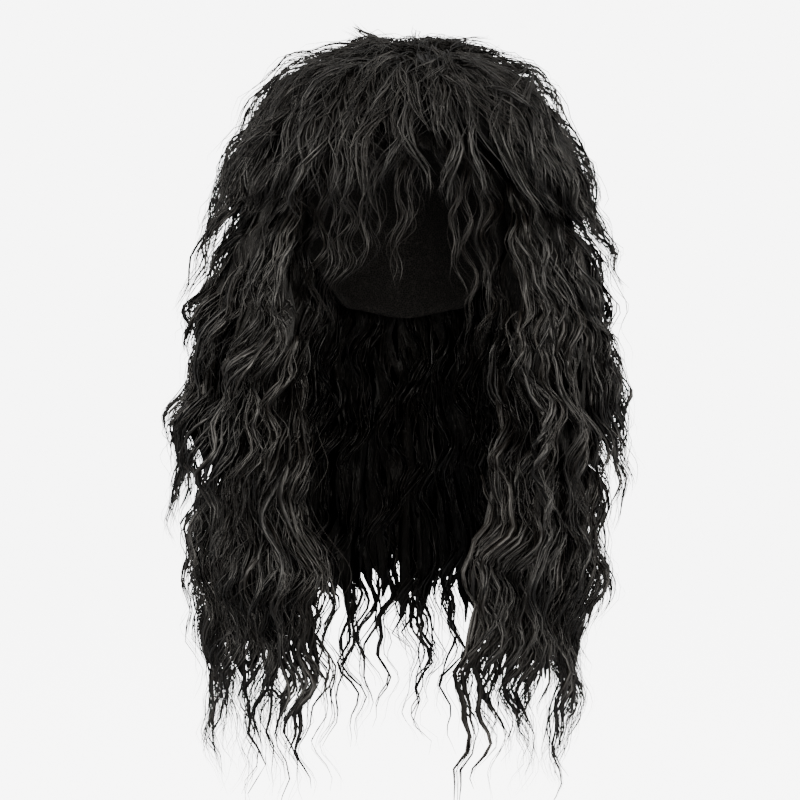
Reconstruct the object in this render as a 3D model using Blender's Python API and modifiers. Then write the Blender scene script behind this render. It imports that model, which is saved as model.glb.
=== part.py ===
"""Long curly wig in the form it has when worn: a stretch cap that carries layers of wavy locks.

The origin is the inside of the cap's crown, where it rests on the head. +Z is up and the face looks along -Y.
Every layer is laid out in hair coordinates: a turn round the head from the back, a run down from the crown,
and a depth out from the scalp. One wave moves all layers together, so neighbours keep their distance.
"""

import math
from collections import namedtuple

import bmesh
import bpy
from mathutils import Vector

# The head that the cap fits, and the cap
HEAD_HALF_WIDTH = 0.0765
HEAD_HALF_DEPTH = 0.0975
HEAD_CROWN = 0.078
DOME_RUN = 0.130
CAP_WALL = 0.0016
CAP_DROP = 0.165
NAPE_TUCK = 0.16
SEAT_GAP = 0.0015
FRINGE_SEAT_GAP = 0.0009

# The hair
HAIR_RUN = 0.580
HAIR_VOLUME = 0.080
LAYER_GAP = 0.0030
BORDER_GAP = 0.0030
WAVE_PITCH = 0.080
WAVE_SWAY = 0.0075
WAVE_LIFT = 0.0050
WAVE_DRIFT = 2.2
WAVE_DRIFTS_ROUND = 3
CURL_START = 0.150
CURL_GROWTH = 0.150
HAIR_LEAN = -0.010

# How finely the surfaces are divided
ROWS_A_WAVE = 4
ROW_STEP = WAVE_PITCH / ROWS_A_WAVE
CAP_COLUMNS = 28
CAP_ROWS = 7
LOCK_SIDES = 4

# Shares of a layer's bulk: the backing that carries the locks, and where a lock's section lies
BACKING_SHARE = 0.62
LOCK_MIDDLE = 0.55
LOCK_HALF = 0.45

# The cap's rim from the nape (0) to the forehead (1): drop is a share of CAP_DROP
RimPoint = namedtuple("RimPoint", "turn drop")
CAP_RIM = (
    RimPoint(0.00, 1.00),
    RimPoint(0.22, 0.96),
    RimPoint(0.40, 0.74),
    RimPoint(0.50, 0.60),
    RimPoint(0.60, 0.70),
    RimPoint(0.70, 0.60),
    RimPoint(0.82, 0.33),
    RimPoint(1.00, 0.26),
)

# A layer's form down the hair: run is a share of HAIR_RUN, turn of a half turn, the rest of HAIR_VOLUME.
# Each pair of columns is the standoff from what lies beneath, or the bulk, at the side, back and front.
Form = namedtuple("Form", "run side back front side_bulk back_bulk front_bulk turn")
LONG_FORM = (
    Form(0.16, 0.00, 0.00, 0.00, 0.04, 0.04, 0.04, 0.67),
    Form(0.24, 0.00, 0.00, 0.00, 0.16, 0.14, 0.12, 0.68),
    Form(0.30, 0.00, 0.00, 0.00, 0.24, 0.18, 0.16, 0.69),
    Form(0.37, 0.00, 0.02, 0.00, 0.32, 0.24, 0.20, 0.70),
    Form(0.45, 0.00, 0.04, 0.00, 0.38, 0.30, 0.24, 0.72),
    Form(0.52, 0.08, 0.06, 0.02, 0.46, 0.34, 0.28, 0.75),
    Form(0.60, 0.26, 0.12, 0.06, 0.56, 0.40, 0.32, 0.79),
    Form(0.71, 0.42, 0.20, 0.14, 0.60, 0.42, 0.34, 0.85),
    Form(0.78, 0.40, 0.22, 0.16, 0.44, 0.36, 0.30, 0.86),
    Form(0.88, 0.38, 0.23, 0.16, 0.36, 0.30, 0.26, 0.86),
    Form(1.00, 0.36, 0.24, 0.16, 0.28, 0.26, 0.22, 0.85),
)
MIDDLE_FORM = (
    Form(0.10, 0.00, 0.00, 0.00, 0.05, 0.05, 0.05, 0.700),
    Form(0.17, 0.00, 0.00, 0.00, 0.14, 0.14, 0.12, 0.710),
    Form(0.24, 0.00, 0.00, 0.00, 0.24, 0.20, 0.18, 0.740),
    Form(0.30, 0.00, 0.00, 0.00, 0.38, 0.26, 0.22, 0.770),
    Form(0.37, 0.00, 0.00, 0.00, 0.58, 0.32, 0.26, 0.785),
    Form(0.45, 0.00, 0.00, 0.00, 0.60, 0.34, 0.26, 0.790),
    Form(0.52, 0.00, 0.00, 0.00, 0.52, 0.32, 0.24, 0.790),
    Form(0.60, 0.00, 0.00, 0.00, 0.30, 0.24, 0.20, 0.795),
    Form(0.68, 0.00, 0.00, 0.00, 0.20, 0.16, 0.16, 0.800),
)
CROWN_FORM = (
    Form(0.00, 0.00, 0.00, 0.00, 0.64, 0.64, 0.64, 1.00),
    Form(0.05, 0.00, 0.00, 0.00, 0.68, 0.62, 0.56, 1.00),
    Form(0.10, 0.00, 0.00, 0.00, 0.64, 0.54, 0.42, 1.00),
    Form(0.17, 0.00, 0.00, 0.00, 0.45, 0.40, 0.27, 1.00),
    Form(0.24, 0.00, 0.00, 0.00, 0.26, 0.24, 0.16, 1.00),
    Form(0.31, 0.00, 0.00, 0.00, 0.18, 0.16, 0.10, 1.00),
)
FRINGE_FORM = (
    Form(0.08, 0.00, 0.00, 0.00, 0.00, 0.00, 0.06, 1.00),
    Form(0.16, 0.00, 0.00, 0.04, 0.00, 0.00, 0.12, 1.00),
    Form(0.24, 0.04, 0.00, 0.08, 0.00, 0.00, 0.12, 1.00),
    Form(0.42, 0.08, 0.00, 0.12, 0.00, 0.00, 0.10, 1.00),
)

# A node of a layer: where it starts and ends round the head as shares of the layer's turn, its lock count,
# and the runs, as shares of HAIR_RUN, of its root, of its backing's edge and of its locks' roots.
Node = namedtuple("Node", "name start end locks root backing_end lock_root")
LONG_NODES = (
    Node("left_long_layer", -1.00, -0.46, 7, 0.172, 0.69, 0.345),
    Node("back_long_layer", -0.46, 0.46, 9, 0.172, 0.69, 0.345),
    Node("right_long_layer", 0.46, 1.00, 7, 0.172, 0.69, 0.345),
)
MIDDLE_NODES = (
    Node("left_middle_layer", -1.00, -0.40, 6, 0.103, 0.345, 0.207),
    Node("back_middle_layer", -0.40, 0.40, 7, 0.103, 0.345, 0.207),
    Node("right_middle_layer", 0.40, 1.00, 6, 0.103, 0.345, 0.207),
)
LONG_TIPS = (0.97, 0.88, 1.00, 0.93, 0.86, 0.96)
MIDDLE_TIPS = (0.62, 0.55, 0.68, 0.58, 0.52)
CROWN_TIPS = (0.31, 0.24, 0.28, 0.24, 0.31)
CROWN_FRONT_CUT = 0.76
CROWN_LOCKS = 20
CROWN_LOCK_ROOT = 0.035
CROWN_SLOPE = 0.3
CROWN_BACKING_END = 0.138
TUFT_LOCKS = 7
TUFT_ROOT = 0.035
TUFT_TIP = 0.172
TUFT_STAND = 0.10
TUFT_SLOPE = 0.6

# The fringe's locks: turn from the middle of the forehead towards +X as a share of the fringe's half turn,
# tip as a share of HAIR_RUN, half width in shares of FRINGE_LOCK_HALF_WIDTH
FRINGE_HALF_TURN = math.radians(46)
FRINGE_SIDE_MARGIN = math.radians(4)
FRINGE_SLOPE = 0.5
FRINGE_LOCK_HALF_WIDTH = 0.0085
FRINGE_ROOT = 0.103
FRINGE_LOCK_ROOT = 0.138
FRINGE_BACKING_END = 0.172
FringeLock = namedtuple("FringeLock", "turn tip width")
FRINGE_LOCKS = (
    FringeLock(-0.89, 0.379, 1.2),
    FringeLock(-0.65, 0.345, 1.0),
    FringeLock(-0.42, 0.310, 0.9),
    FringeLock(-0.18, 0.276, 0.8),
    FringeLock(0.08, 0.330, 1.1),
    FringeLock(0.38, 0.310, 0.9),
    FringeLock(0.62, 0.360, 1.3),
    FringeLock(0.88, 0.405, 1.0),
)

# Colour (linear), roughness and metallic value of the fibre and of the cap's net
FIBRE_LOOK = ((0.014, 0.012, 0.011), 0.42, 0.0)
NET_LOOK = ((0.020, 0.018, 0.018), 0.85, 0.0)


def eased(share):
    """0 to 1, rising smoothly."""
    held = max(0.0, min(1.0, share))
    return held * held * (3 - 2 * held)


def table_at(rows, place):
    """The rows' values at a place in their first column, on a smooth curve that never overshoots."""
    if place <= rows[0][0]:
        return rows[0]
    for low, high in zip(rows, rows[1:]):
        if place <= high[0]:
            share = eased((place - low[0]) / (high[0] - low[0]))
            return type(low)(*(a + (b - a) * share for a, b in zip(low, high)))
    return rows[-1]


def row_of(share):
    """The nearest row of the shared lattice to a share of the hair's run."""
    return round(share * HAIR_RUN / ROW_STEP)


def scalp(turn, run, tuck=0.0):
    """The head's surface, and its outward direction, at a turn from the back and a run from the crown."""
    if run < DOME_RUN:
        polar = run / DOME_RUN * math.pi / 2
        reach, rise, drop = math.sin(polar), math.cos(polar), HEAD_CROWN * (1 - math.cos(polar))
    else:
        below = run - DOME_RUN
        reach, rise, drop = 1 - tuck * (below / HEAD_CROWN) ** 2, 0.0, HEAD_CROWN + below
    across, along = reach * math.sin(turn), reach * math.cos(turn)
    point = Vector((HEAD_HALF_WIDTH * across, HEAD_HALF_DEPTH * along, -drop))
    outward = Vector((across / HEAD_HALF_WIDTH, along / HEAD_HALF_DEPTH, rise / HEAD_CROWN))
    return point, outward.normalized()


def round_head(side, back, front, turn):
    """A value between those at the side, the back and the front."""
    along = math.cos(turn)
    return side * (1 - along * along) + (back if along > 0 else front) * along * along


def bulk(form, turn, run):
    """How thick a layer is at a place."""
    at = table_at(form, run / HAIR_RUN)
    return HAIR_VOLUME * round_head(at.side_bulk, at.back_bulk, at.front_bulk, turn)


def standoff(form, turn, run):
    at = table_at(form, run / HAIR_RUN)
    return HAIR_VOLUME * round_head(at.side, at.back, at.front, turn)


def long_inner(turn, run):
    return CAP_WALL + SEAT_GAP + standoff(LONG_FORM, turn, run)


def fringe_inner(turn, run):
    return CAP_WALL + FRINGE_SEAT_GAP + standoff(FRINGE_FORM, turn, run)


def stacked(turn, run, form, inner):
    """The depth at which the next layer out may start, or the seat on the cap above this layer's root."""
    if run < form[0].run * HAIR_RUN:
        return CAP_WALL + SEAT_GAP
    return inner(turn, run) + bulk(form, turn, run) + LAYER_GAP


def middle_inner(turn, run):
    over_long = stacked(turn, run, LONG_FORM, long_inner)
    over_fringe = stacked(turn, run, FRINGE_FORM, fringe_inner) if math.cos(turn) < 0 else 0.0
    return max(over_long, over_fringe)


def crown_inner(turn, run):
    over_middle = stacked(turn, run, MIDDLE_FORM, middle_inner)
    over_fringe = stacked(turn, run, FRINGE_FORM, fringe_inner) if math.cos(turn) < 0 else 0.0
    return max(over_middle, over_fringe)


Layer = namedtuple("Layer", "form inner")
LONG = Layer(LONG_FORM, long_inner)
MIDDLE = Layer(MIDDLE_FORM, middle_inner)
CROWN = Layer(CROWN_FORM, crown_inner)
FRINGE = Layer(FRINGE_FORM, fringe_inner)


def hair_point(turn, run, depth, sideways=0.0):
    """A place in the hair, with the wave that all layers share and the slight lean of the whole wig."""
    growth = eased((run - CURL_START) / CURL_GROWTH)
    beat = 2 * math.pi * run / WAVE_PITCH + WAVE_DRIFT * math.sin(WAVE_DRIFTS_ROUND * turn)
    sway = growth * WAVE_SWAY * math.sin(beat) + sideways
    point, outward = scalp(turn, run)
    reach = math.hypot(point.x + outward.x * depth, point.y + outward.y * depth)
    turned = turn + (sway / reach if reach > abs(sway) else 0.0)
    point, outward = scalp(turned, run)
    lean = HAIR_LEAN * eased((run - DOME_RUN) / (HAIR_RUN - DOME_RUN))
    return point + outward * (depth + growth * WAVE_LIFT * math.cos(beat)) + Vector((lean, 0, 0))


def mapped_grid(columns, rows, place):
    """A grid whose points go where place(across, row) says, with seams and collapsed ends closed."""
    mesh = bmesh.new()
    bmesh.ops.create_grid(mesh, x_segments=columns, y_segments=rows, size=0.5)
    for vertex in mesh.verts:
        vertex.co = place(vertex.co.x + 0.5, round((vertex.co.y + 0.5) * rows))
    bmesh.ops.remove_doubles(mesh, verts=mesh.verts, dist=1e-6)
    bmesh.ops.recalc_face_normals(mesh, faces=mesh.faces)
    return mesh


def thick_grid(columns, rows, inner, outer, closed=False):
    """A closed wall: an inner grid extruded, and both moved to their places.

    A wall that runs all round starts as a disc, whose angle is across and whose radius is the row.
    """
    mesh = bmesh.new()
    bmesh.ops.create_grid(mesh, x_segments=columns, y_segments=rows, size=0.5)
    if closed:
        for vertex in mesh.verts:
            angle, radius = 2 * math.pi * vertex.co.x, vertex.co.y + 0.5
            vertex.co = Vector((radius * math.cos(angle), radius * math.sin(angle), 0))
        bmesh.ops.remove_doubles(mesh, verts=mesh.verts, dist=1e-4)
    made = bmesh.ops.extrude_face_region(mesh, geom=mesh.faces[:])
    raised = {item for item in made["geom"] if isinstance(item, bmesh.types.BMVert)}
    for vertex in mesh.verts:
        across, down = vertex.co.x + 0.5, vertex.co.y + 0.5
        if closed:
            across, down = math.atan2(vertex.co.y, vertex.co.x) / (2 * math.pi) + 0.5, vertex.co.length
        place = outer if vertex in raised else inner
        vertex.co = place(across, round(down * rows))
    bmesh.ops.recalc_face_normals(mesh, faces=mesh.faces)
    return mesh


def object_of(name, mesh, collection):
    data = bpy.data.meshes.new(name)
    mesh.to_mesh(data)
    mesh.free()
    made = bpy.data.objects.new(name, data)
    collection.objects.link(made)
    return made


def material(name, look):
    colour, roughness, metallic = look
    made = bpy.data.materials.new(name)
    made.use_nodes = True
    shader = made.node_tree.nodes["Principled BSDF"]
    shader.inputs["Base Color"].default_value = (*colour, 1)
    shader.inputs["Roughness"].default_value = roughness
    shader.inputs["Metallic"].default_value = metallic
    return made


def lock(layer, middle, half_width, root, tip, slope=0.0, stand=0.0):
    """One tapered lock. middle(run) is its turn and half_width(run) its reach sideways, in metres.

    slope leans its tip sideways, and stand lifts its tip off the layer as a share of HAIR_VOLUME.
    """
    count = tip - root

    def place(across, row):
        run = (root + row) * ROW_STEP
        down = row / count
        turn = middle(run)
        angle = 2 * math.pi * across
        body = math.sin(math.pi * min(1.0, down / 0.5) / 2) if down < 0.5 else 1 - ((down - 0.5) / 0.5) ** 1.7
        thick = bulk(layer.form, turn, run)
        rooted = BACKING_SHARE / 2 + (LOCK_MIDDLE - BACKING_SHARE / 2) * eased(down / 0.4)
        depth = layer.inner(turn, run) + thick * (rooted + LOCK_HALF * body * math.sin(angle))
        depth += stand * HAIR_VOLUME * down * down
        sideways = half_width(run) * (body * math.cos(angle) + slope * down * down)
        return hair_point(turn, run, depth, sideways)

    return mapped_grid(LOCK_SIDES, count, place)


def backing(layer, start, end, root, last, columns, closed=False):
    """The wall of hair that carries a node's locks."""
    count = last - root

    def wall(share):
        def place(across, row):
            run = (root + row) * ROW_STEP
            turn = start(run) + (end(run) - start(run)) * across
            thick = bulk(layer.form, turn, run) * BACKING_SHARE
            return hair_point(turn, run, layer.inner(turn, run) + thick * share)

        return place

    return thick_grid(columns, count, wall(0.0), wall(1.0), closed)


def fused(name, base, locks, parts):
    """The base with all its locks joined into one closed body."""
    cutters = bpy.data.collections.new(name + "_locks")
    bpy.context.scene.collection.children.link(cutters)
    body = object_of(name, base, parts)
    for number, shape in enumerate(locks):
        object_of(f"{name}_lock_{number}", shape, cutters)
    union = body.modifiers.new("join_locks", "BOOLEAN")
    union.operation = "UNION"
    union.operand_type = "COLLECTION"
    union.collection = cutters
    union.solver = "EXACT"
    bpy.context.view_layer.update()
    evaluated = body.evaluated_get(bpy.context.evaluated_depsgraph_get())
    joined = bpy.data.meshes.new_from_object(evaluated)
    body.modifiers.clear()
    body.data = joined
    for piece in list(cutters.objects):
        bpy.data.objects.remove(piece)
    bpy.data.collections.remove(cutters)
    return body


def layer_node(layer, node, tips, parts):
    """A part of a hanging layer: a backing, with locks side by side that part below its edge."""
    lane = (node.end - node.start) / node.locks

    def full_turn(run):
        return math.pi * table_at(layer.form, run / HAIR_RUN).turn

    def reach(share, run):
        turn = share * full_turn(run)
        point, outward = scalp(turn, run)
        return (point + outward * layer.inner(turn, run)).xy.length

    def edge(share, side):
        border = BORDER_GAP / 2 if abs(share) < 1 else 0.0
        return lambda run: share * full_turn(run) + side * border / reach(share, run)

    base = backing(
        layer,
        edge(node.start, 1),
        edge(node.end, -1),
        row_of(node.root),
        row_of(node.backing_end),
        node.locks,
    )
    locks = []
    for number in range(node.locks):
        centre = node.start + lane * (number + 0.5)

        def middle(run, centre=centre):
            return centre * full_turn(run)

        at_border = number in (0, node.locks - 1)
        fill = 0.49 if at_border else 0.66

        def half_width(run, centre=centre, fill=fill):
            return fill * lane * full_turn(run) * reach(centre, run) - (BORDER_GAP if fill < 0.5 else 0)

        tip = tips[(number * 7 + node.locks) % len(tips)]
        slope = 0.0 if at_border else 0.3 * (-1) ** number
        locks.append(lock(layer, middle, half_width, row_of(node.lock_root), row_of(tip), slope))
    return fused(node.name, base, locks, parts)


def crown_layer(parts):
    """The short choppy layer that covers the top of the cap on all sides."""
    lane = 2 * math.pi / CROWN_LOCKS
    base = backing(
        CROWN,
        lambda run: -math.pi,
        lambda run: math.pi,
        0,
        row_of(CROWN_BACKING_END),
        CROWN_LOCKS,
        closed=True,
    )

    def width_round(share):
        def half_width(run):
            point, outward = scalp(math.pi / 2, run)
            return share * (point + outward * crown_inner(math.pi / 2, run)).xy.length

        return half_width

    locks = []
    for number in range(CROWN_LOCKS):
        turn = -math.pi + lane * (number + 0.5)
        tip = CROWN_TIPS[(number * 3) % len(CROWN_TIPS)] * round_head(1, 1, CROWN_FRONT_CUT, turn)
        root = row_of(CROWN_LOCK_ROOT)
        locks.append(
            lock(CROWN, lambda run, turn=turn: turn, width_round(0.62 * lane), root, row_of(tip), CROWN_SLOPE)
        )
    wide = 2 * math.pi / TUFT_LOCKS
    for number in range(TUFT_LOCKS):
        turn = -math.pi + wide * number
        locks.append(
            lock(
                CROWN,
                lambda run, turn=turn: turn,
                width_round(0.30 * wide),
                row_of(TUFT_ROOT),
                row_of(TUFT_TIP),
                TUFT_SLOPE,
                TUFT_STAND,
            )
        )
    return fused("crown_layer", base, locks, parts)


def fringe(parts):
    """The thin locks that hang from the front of the cap over the forehead."""
    base = backing(
        FRINGE,
        lambda run: math.pi - FRINGE_HALF_TURN,
        lambda run: math.pi + FRINGE_HALF_TURN,
        row_of(FRINGE_ROOT),
        row_of(FRINGE_BACKING_END),
        len(FRINGE_LOCKS),
    )
    locks = []
    for number, each in enumerate(FRINGE_LOCKS):
        turn = math.pi - each.turn * (FRINGE_HALF_TURN - FRINGE_SIDE_MARGIN)
        locks.append(
            lock(
                FRINGE,
                lambda run, turn=turn: turn,
                lambda run, each=each: each.width * FRINGE_LOCK_HALF_WIDTH,
                row_of(FRINGE_LOCK_ROOT),
                row_of(each.tip),
                FRINGE_SLOPE * (-1) ** number,
            )
        )
    return fused("fringe", base, locks, parts)


def cap(parts):
    """The stretch cap: one open dome with an ear tab each side and a deep nape."""

    def rim_run(turn):
        share = abs(turn) / math.pi
        drop = CAP_DROP * table_at(CAP_RIM, share).drop
        if drop < HEAD_CROWN:
            return DOME_RUN * math.acos(1 - drop / HEAD_CROWN) / (math.pi / 2)
        return DOME_RUN + drop - HEAD_CROWN

    def place(across, row):
        turn = 2 * math.pi * (across - 0.5)
        return scalp(turn, rim_run(turn) * row / CAP_ROWS, NAPE_TUCK)[0]

    made = object_of("cap", mapped_grid(CAP_COLUMNS, CAP_ROWS, place), parts)
    wall = made.modifiers.new("wall", "SOLIDIFY")
    wall.thickness = CAP_WALL
    wall.offset = 1
    wall.use_even_offset = True
    return made


def build():
    for old in list(bpy.data.objects):
        bpy.data.objects.remove(old)
    parts = bpy.data.collections.new("long_curly_wig")
    bpy.context.scene.collection.children.link(parts)
    fibre = material("fibre", FIBRE_LOOK)
    made = [layer_node(LONG, node, LONG_TIPS, parts) for node in LONG_NODES]
    made += [layer_node(MIDDLE, node, MIDDLE_TIPS, parts) for node in MIDDLE_NODES]
    made += [crown_layer(parts), fringe(parts)]
    for each in made:
        each.data.materials.clear()
        each.data.materials.append(fibre)
    cap(parts).data.materials.append(material("net", NET_LOOK))


build()
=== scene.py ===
import math
from collections import namedtuple

import bmesh
import bpy
import numpy as np
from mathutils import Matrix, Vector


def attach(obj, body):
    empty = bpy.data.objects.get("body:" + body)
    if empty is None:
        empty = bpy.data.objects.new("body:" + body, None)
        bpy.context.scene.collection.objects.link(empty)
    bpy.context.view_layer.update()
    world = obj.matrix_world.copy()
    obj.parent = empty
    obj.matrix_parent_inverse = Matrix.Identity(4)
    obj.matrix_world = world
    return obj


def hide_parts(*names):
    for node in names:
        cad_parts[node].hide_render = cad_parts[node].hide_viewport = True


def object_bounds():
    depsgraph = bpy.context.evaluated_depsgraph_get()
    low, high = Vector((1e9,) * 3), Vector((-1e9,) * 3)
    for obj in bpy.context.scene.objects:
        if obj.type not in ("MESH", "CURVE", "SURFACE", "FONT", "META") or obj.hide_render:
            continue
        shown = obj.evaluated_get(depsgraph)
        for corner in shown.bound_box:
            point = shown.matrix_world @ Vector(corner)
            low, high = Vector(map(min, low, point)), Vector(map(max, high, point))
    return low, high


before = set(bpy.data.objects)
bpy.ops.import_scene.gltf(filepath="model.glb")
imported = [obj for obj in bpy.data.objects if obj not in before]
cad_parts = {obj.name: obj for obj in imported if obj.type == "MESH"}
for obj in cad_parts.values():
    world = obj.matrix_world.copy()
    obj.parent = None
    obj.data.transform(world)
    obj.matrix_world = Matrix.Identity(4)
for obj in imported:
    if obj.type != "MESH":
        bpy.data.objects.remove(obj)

cad_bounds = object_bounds()

# Stretch cap
# The wefts are sewn to a cap of black stretch net: one open dome with an ear tab each side and a deep nape,
# edged with an elastic tape. It is one wall on a round grid, thicker where the tape lies along its rim.

# The head that the cap fits: its half width and depth, the height of its dome, and the way over that dome.
HEAD_HALF_WIDTH = 0.0765
HEAD_HALF_DEPTH = 0.0975
HEAD_CROWN = 0.078
DOME_RUN = 0.130

CAP_WALL = 0.0014
CAP_DROP = 0.165
NAPE_TUCK = 0.16
TAPE_WALL, TAPE_INSIDE_SHARE = 0.0009, 0.4
TAPE_ROWS = 3
CAP_COLUMNS, CAP_ROWS = 84, 26

NET_COLOUR = (0.060, 0.055, 0.051, 1)
NET_HOLE_COLOUR = (0.004, 0.004, 0.004, 1)
NET_ROUGHNESS = 0.85
NET_RELIEF, NET_RELIEF_STRENGTH = 0.0005, 0.6
NET_MESH = 0.0016
THREAD_REACH = 0.16
TRACK_PITCH, TRACK_DISTORTION = 0.011, 1.2
BANDS_PER_UNIT = 3.2

# The rim from the back to the front: shares of a half turn, and of CAP_DROP below the crown.
RimPoint = namedtuple("RimPoint", "turn drop")
CAP_RIM = (
    RimPoint(0.00, 1.00),
    RimPoint(0.22, 0.96),
    RimPoint(0.40, 0.74),
    RimPoint(0.50, 0.60),
    RimPoint(0.60, 0.70),
    RimPoint(0.70, 0.60),
    RimPoint(0.82, 0.33),
    RimPoint(1.00, 0.26),
)


def eased(share):
    """0 to 1, rising smoothly."""
    held = np.clip(share, 0.0, 1.0)
    return held * held * (3 - 2 * held)


def table_at(rows, where):
    """The rows' columns at places in their first column, on smooth curves that never overshoot."""
    values = np.array(rows, dtype=float)
    where = np.clip(where, values[0, 0], values[-1, 0])
    low = np.clip(np.searchsorted(values[:, 0], where, side="right") - 1, 0, len(values) - 2)
    share = eased((where - values[low, 0]) / (values[low + 1, 0] - values[low, 0]))
    return type(rows[0])(*(values[low, i] + (values[low + 1, i] - values[low, i]) * share
                           for i in range(values.shape[1])))


def scalp(turn, run, tuck=0.0):
    """The head's surface and its outward directions, at turns from the back and runs from the crown.

    Tuck draws it in below the dome.
    """
    polar = np.minimum(run / DOME_RUN, 1.0) * math.pi / 2
    below = np.maximum(run - DOME_RUN, 0.0)
    reach = np.sin(polar) * (1 - tuck * (below / HEAD_CROWN) ** 2)
    across, along = reach * np.sin(turn), reach * np.cos(turn)
    drop = HEAD_CROWN * (1 - np.cos(polar)) + below
    points = np.stack([HEAD_HALF_WIDTH * across, HEAD_HALF_DEPTH * along, -drop], axis=-1)
    outward = np.stack(
        [across / HEAD_HALF_WIDTH, along / HEAD_HALF_DEPTH, np.cos(polar) / HEAD_CROWN], axis=-1)
    return points, outward / np.linalg.norm(outward, axis=-1, keepdims=True)


def hang(name, data, material, nodes):
    """Puts a mesh in the scene as a smooth piece that rides on the wig and stands for its CAD nodes."""
    data.shade_smooth()
    data.materials.append(material)
    piece = bpy.data.objects.new(name, data)
    bpy.context.scene.collection.objects.link(piece)
    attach(piece, "root")
    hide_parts(*nodes)
    return piece


def walled_grid(name, columns, rows, place, closed):
    """The mesh of a wall. place(across, down, side) gives its points, with side 0 inside and 1 outside.

    A wall that is closed runs all round. It starts as a disc, whose angle is across and radius is down.
    """
    mesh = bmesh.new()
    bmesh.ops.create_grid(mesh, x_segments=columns, y_segments=rows, size=0.5)
    if closed:
        for vertex in mesh.verts:
            angle, radius = 2 * math.pi * vertex.co.x, vertex.co.y + 0.5
            vertex.co = (radius * math.cos(angle), radius * math.sin(angle), 0)
        bmesh.ops.remove_doubles(mesh, verts=mesh.verts, dist=1e-4)
    made = bmesh.ops.extrude_face_region(mesh, geom=mesh.faces[:])
    raised = {item for item in made["geom"] if isinstance(item, bmesh.types.BMVert)}
    corners = list(mesh.verts)
    flat = np.array([vertex.co[:] for vertex in corners])
    side = np.array([1.0 if vertex in raised else 0.0 for vertex in corners])
    if closed:
        across = np.arctan2(flat[:, 1], flat[:, 0]) / (2 * math.pi) + 0.5
        down = np.hypot(flat[:, 0], flat[:, 1])
    else:
        across, down = flat[:, 0] + 0.5, flat[:, 1] + 0.5
    for vertex, point in zip(corners, place(across, down, side)):
        vertex.co = point
    bmesh.ops.recalc_face_normals(mesh, faces=mesh.faces)
    data = bpy.data.meshes.new(name)
    mesh.to_mesh(data)
    mesh.free()
    return data


def rim_run(turn):
    """How far the cap's rim lies down the head, along the surface, at each turn."""
    drop = CAP_DROP * table_at(CAP_RIM, np.abs(turn) / math.pi).drop
    on_dome = DOME_RUN * np.arccos(np.clip(1 - drop / HEAD_CROWN, 0, 1)) / (math.pi / 2)
    return np.where(drop < HEAD_CROWN, on_dome, DOME_RUN + drop - HEAD_CROWN)


def cap_place(across, down, side):
    """The cap's wall from its crown to its rim, where the tape stands out on both sides of it."""
    turn = 2 * math.pi * (across - 0.5)
    points, outward = scalp(turn, rim_run(turn) * down, NAPE_TUCK)
    tape = TAPE_WALL * eased((down - 1 + TAPE_ROWS / CAP_ROWS) * CAP_ROWS)
    away = (CAP_WALL + tape) * side - TAPE_INSIDE_SHARE * tape * (1 - side)
    return points + outward * away[:, None]


net = bpy.data.materials.new("stretch_net")
net.use_nodes = True
nodes, links = net.node_tree.nodes, net.node_tree.links
shader = nodes["Principled BSDF"]
on_cap = nodes.new("ShaderNodeTexCoord")
holes = nodes.new("ShaderNodeTexVoronoi")
holes.feature = "DISTANCE_TO_EDGE"
holes.inputs["Scale"].default_value = 1 / NET_MESH
links.new(on_cap.outputs["Object"], holes.inputs["Vector"])
thread = nodes.new("ShaderNodeMapRange")
thread.inputs["From Max"].default_value = THREAD_REACH
thread.inputs["To Min"].default_value = 1.0
thread.inputs["To Max"].default_value = 0.0
links.new(holes.outputs["Distance"], thread.inputs["Value"])
tracks = nodes.new("ShaderNodeTexWave")
tracks.bands_direction = "Z"
tracks.inputs["Scale"].default_value = 1 / (TRACK_PITCH * BANDS_PER_UNIT)
tracks.inputs["Distortion"].default_value = TRACK_DISTORTION
links.new(on_cap.outputs["Object"], tracks.inputs["Vector"])
relief = nodes.new("ShaderNodeMath")
relief.operation = "ADD"
links.new(thread.outputs["Result"], relief.inputs[0])
links.new(tracks.outputs["Fac"], relief.inputs[1])
bump = nodes.new("ShaderNodeBump")
bump.inputs["Strength"].default_value = NET_RELIEF_STRENGTH
bump.inputs["Distance"].default_value = NET_RELIEF
links.new(relief.outputs["Value"], bump.inputs["Height"])
links.new(bump.outputs["Normal"], shader.inputs["Normal"])
tone = nodes.new("ShaderNodeMix")
tone.data_type = "RGBA"
tone.inputs["A"].default_value = NET_HOLE_COLOUR
tone.inputs["B"].default_value = NET_COLOUR
links.new(thread.outputs["Result"], tone.inputs["Factor"])
links.new(tone.outputs["Result"], shader.inputs["Base Color"])
shader.inputs["Roughness"].default_value = NET_ROUGHNESS

dome = walled_grid("stretch_cap", CAP_COLUMNS, CAP_ROWS, cap_place, closed=True)
hang("stretch_cap", dome, net, ["cap"])

# Fibre
# Every hair is a crimped synthetic fibre, off-black with a soft satin sheen. Fibres cling together in wisps,
# so a wisp's colour drifts from one to the next, and fine streaks along it stand for its single fibres. The
# streaks' low valleys are painted darker, as painted shade between the fibres.
FIBRE_DARK = (0.0030, 0.0026, 0.0025, 1)
FIBRE_LIGHT = (0.0140, 0.0108, 0.0080, 1)
# The deep hair's colours are a darker copy of the fibre's: painted shade where it lies under the wisps.
SHADED_DEPTH_DARK = (0.0020, 0.0018, 0.0017, 1)
SHADED_DEPTH_LIGHT = (0.0110, 0.0090, 0.0072, 1)
FIBRE_SPECULAR, DEPTH_SPECULAR = 0.64, 0.36
FIBRE_RELIEF, DEPTH_RELIEF, RELIEF_STRENGTH = 0.0012, 0.0030, 0.7
SMOOTHEST, ROUGHEST = 0.23, 0.47

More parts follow.
